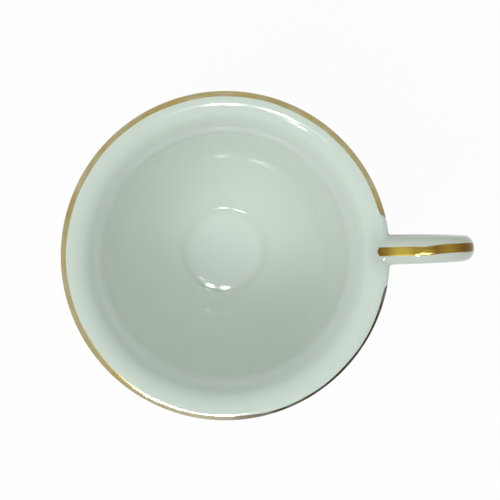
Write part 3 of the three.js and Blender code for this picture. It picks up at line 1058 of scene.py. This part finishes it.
# %% [markdown]
# ## Gold line on the lip
#
# The line is banded on by hand while the cup turns on a wheel, so it is never quite even. It is full
# from the back round the left to the front, where drinking has rubbed it thin. At the front right
# the brush ran dry: there the line is fine, and over the top of the lip it is painted dark, a painted
# dark reflection. It wraps over the outer edge of the lip, and the brush lifts on either side of the
# handle. The section of the film is swept round the lip.

# %% Helpers for gold
FILM_BED = 0.06  # how deep the film sits in the glaze, so that no gap shows
EDGE_FILM = 0.15  # how much of its thickness the film keeps at its edges
EDGE_POWER = 8  # the higher, the nearer to its edges it starts to thin
END_FULLNESS = 0.2  # how much of its width the line has at its very end


def carry_stroke(piece, along, across, film, tarnish_and_dark_reflection):
    """Store on a gold piece millimetres along and across the line, how whole the film is, and how far it is
    darkened by tarnish and painted dark reflection.
    The last two are given for each ring of points, or for each point."""
    count = np.size(across) // len(along)
    values = np.stack([np.repeat(along, count), np.ravel(across), np.zeros(np.size(across))], axis=1)
    stroke = piece.data.attributes.new("stroke", "FLOAT_VECTOR", "POINT")
    stroke.data.foreach_set("vector", values.astype(np.float32).ravel())
    for name, level in (("film", film), ("tarnish_and_dark_reflection", tarnish_and_dark_reflection)):
        store(piece, name, np.broadcast_to(np.reshape(level, (len(along), -1)), (len(along), count)))


def brushed_end(distance, length):
    """How full the line is near its end, from a blunt tip to full width."""
    left = np.clip(1 - distance / length, 0, 1)
    return END_FULLNESS + (1 - END_FULLNESS) * np.sqrt(1 - left**2)


def feathered(across):
    """How thick the film is across the line, from -1 at one edge to 1 at the other."""
    return EDGE_FILM + (1 - EDGE_FILM) * (1 - across**EDGE_POWER)


print("film", FILM, "mm thick in the middle and", round(FILM * EDGE_FILM, 3), "mm at its edges")

# %% Width of the line on the lip
LINE_WIDTH = 1.12  # seen from above
LINE_FINE = 0.5  # where the brush ran dry, where the gold is also painted dark
LINE_DRY = 314  # degrees round
DRY_SPREAD = 42
LINE_UNDER = 0.7  # how far the line reaches under the lip's edge
LINE_OPEN = 6.8  # either side of the handle's middle
LINE_END = 2.4  # over which the line comes to its full width
LINE_WAVES = ((0.03, 7, 1), (0.025, 17, 2))  # height in millimetres, waves round the lip, and phase
LINE_STEPS = 280
FLARE_SKIN = 12  # along the skin in from the lip's edge, more than the line takes up


def near_place(angles, middle, spread, power):
    """1 at a place round the lip and 0 away from it, with a flatter top for a higher power."""
    return np.exp(-(((np.degrees(angles) - middle) / spread) ** power))


start = math.asin(LINE_OPEN / LIP_EDGE)
angles = np.linspace(start, 2 * math.pi - start, LINE_STEPS)
waver = sum(height * np.sin(waves * angles + phase) for height, waves, phase in LINE_WAVES)
dry = near_place(angles, LINE_DRY, DRY_SPREAD, power=4)
width = LINE_WIDTH + (LINE_FINE - LINE_WIDTH) * dry + waver
from_end = np.minimum(angles - start, 2 * math.pi - start - angles) * LIP_EDGE
fullness = brushed_end(from_end, LINE_END)
inside = (lengths <= 0) & (lengths > -FLARE_SKIN)
inner_edge = np.interp(LIP_EDGE - width, section[inside, 0], lengths[inside])
print(f"line {width.min():.2f} to {width.max():.2f} mm wide from above")

# %% Gold line on the lip
LINE_POINTS = 11

across = np.linspace(-1, 1, LINE_POINTS)
line_rings = []
line_across = []
for angle, inner, full in zip(angles, inner_edge, fullness):
    along = (inner + LINE_UNDER) / 2 + across * (LINE_UNDER - inner) / 2 * full
    around = np.full(LINE_POINTS, angle)
    top = on_bowl(along, around, FILM * feathered(across))
    bed = on_bowl(along, around, -FILM_BED)
    line_rings.append(np.concatenate([top, bed[::-1]]))
    line_across.append(np.concatenate([along, along[::-1]]))
rim_line = sweep("cup_rim_gold", line_rings)
print("line of", len(line_rings), "rings")

# %% Wear and painted darkening of the line on the lip
LINE_WORN = 265  # degrees round, where drinking has rubbed the line thin
WORN_SPREAD = 18
LINE_FILM = 0.8
WORN_LOSS = 0.25
DRY_GAIN = 0.2  # more of the film where the brush ran dry, so that its painted dark reflection is not lightened by the glaze
LINE_TARNISH = 0.2
DRY_DARK_REFLECTION = 0.75  # on top of that, where the brush ran dry: a painted dark reflection
END_DARKENING = 0.45  # and at the line's ends
END_FADE = 1.2  # millimetres over which that fades
LINE_DARK_REACH = 0.3  # how far below the lip's edge the painted darkening reaches

worn = near_place(angles, LINE_WORN, WORN_SPREAD, power=2)
line_film = LINE_FILM - WORN_LOSS * worn + DRY_GAIN * dry
# over the top of the lip the line is painted dark where the brush ran dry: a painted dark reflection
over_lip = 1 - np.clip(np.array(line_across) / LINE_DARK_REACH, 0, 1)
darkened_by = DRY_DARK_REFLECTION * dry + END_DARKENING * np.exp(-from_end / END_FADE)
line_tarnish_and_reflection = np.clip(LINE_TARNISH + darkened_by[:, None] * over_lip, 0, 1)
carry_stroke(rim_line, angles * LIP_EDGE, line_across, line_film, line_tarnish_and_reflection)
finish_piece(rim_line, "rim_gilding", gold)

# %% [markdown]
# ## Gold stripe on the handle
#
# One stroke of the same brush along the back of the strap, from just inside the lip to the lower root.
# The rings of the root and the strap give the surface under it, so the film follows both.

# %% Surface under the stripe
STRIPE_START = 2.6  # in from the edge of the lip
STRIPE_STOP = 1.5  # short of the lower end of the strap
SIDE_MARGIN = 0.2  # radians of the strap's round that are left out at either side of its back

under_stripe = np.array(upper_rings[:0:-1] + strap_rings)
backs = under_stripe[:, (TURNS > SIDE_MARGIN) & (TURNS < math.pi - SIDE_MARGIN)]
ridge = backs[:, backs.shape[1] // 2]
kept = (ridge[:, 0] > LIP_EDGE - STRIPE_START) | (np.arange(len(ridge)) > len(ridge) // 2)
backs, ridge = backs[kept], ridge[kept]
stripe_lengths = lengths_along(ridge)
painted = stripe_lengths < stripe_lengths[-1] - STRIPE_STOP
backs, ridge, stripe_lengths = backs[painted], ridge[painted], stripe_lengths[painted]
stripe_runs = np.gradient(ridge, stripe_lengths, axis=0)
print(f"stripe {stripe_lengths[-1]:.1f} mm long")

# %% Gold stripe on the handle
STRIPE_HALF = 0.9
STRIPE_POINTS = 9
STRIPE_END = 0.35  # over which the stripe comes to its full width
STRAY = -0.12  # how far the stripe lies to the front of the strap's middle
KNEE_STRAY = -0.09  # how much further just past the knee
KNEE_AT, KNEE_SPREAD = 9.3, 1.6  # millimetres along the stripe
CREST_STRAY = 0.34  # and how far it swings over to the back past the crest
CREST_AT = 12.2


def stray(distance):
    """How far off the strap's middle the stripe is, along its length, with the back as positive."""
    at_knee = math.exp(-(((distance - KNEE_AT) / KNEE_SPREAD) ** 2))
    return STRAY + KNEE_STRAY * at_knee + CREST_STRAY / (1 + math.exp(CREST_AT - distance))


side = np.linspace(-1, 1, STRIPE_POINTS)
stripe_rings = []
stripe_across = []
for back_points, run, distance in zip(backs, stripe_runs, stripe_lengths):
    full = brushed_end(np.minimum(distance, stripe_lengths[-1] - distance), STRIPE_END)
    offsets = stray(distance) + side * STRIPE_HALF * full
    in_order = back_points[np.argsort(back_points[:, 1])]
    points = np.stack([np.interp(offsets, in_order[:, 1], in_order[:, i]) for i in range(3)], axis=1)
    lift = np.cross(run, np.gradient(points, axis=0))
    lift /= np.linalg.norm(lift, axis=1)[:, None]
    top = points + lift * FILM * feathered(side)[:, None]
    bed = points - lift * FILM_BED
    stripe_rings.append(np.concatenate([top, bed[::-1]]))
    stripe_across.append(np.concatenate([offsets, offsets[::-1]]))
stripe = sweep("cup_handle_gold", stripe_rings)
print("stripe of", len(stripe_rings), "rings")

# %% Film and painted dark reflections of the stripe
STRIPE_FILM = 1.1  # whole, with something in hand for the patches
STRIPE_DARK_REFLECTION_AT = (0, 2, 3.5, 4.5, 6.3, 7.5, 10.5, 12, 14.5, 18)  # millimetres along the stripe
STRIPE_DARK_REFLECTION = (0.5, 0.34, 0.1, 0, 0, 0.2, 0.27, 0.45, 0.3, 0.5)  # how dark it is painted there: a painted dark reflection

stripe_film = np.full(len(stripe_lengths), STRIPE_FILM)
stripe_dark_reflection = np.interp(stripe_lengths, STRIPE_DARK_REFLECTION_AT, STRIPE_DARK_REFLECTION)
carry_stroke(stripe, stripe_lengths, stripe_across, stripe_film, stripe_dark_reflection)
finish_piece(stripe, "handle_gilding", gold)
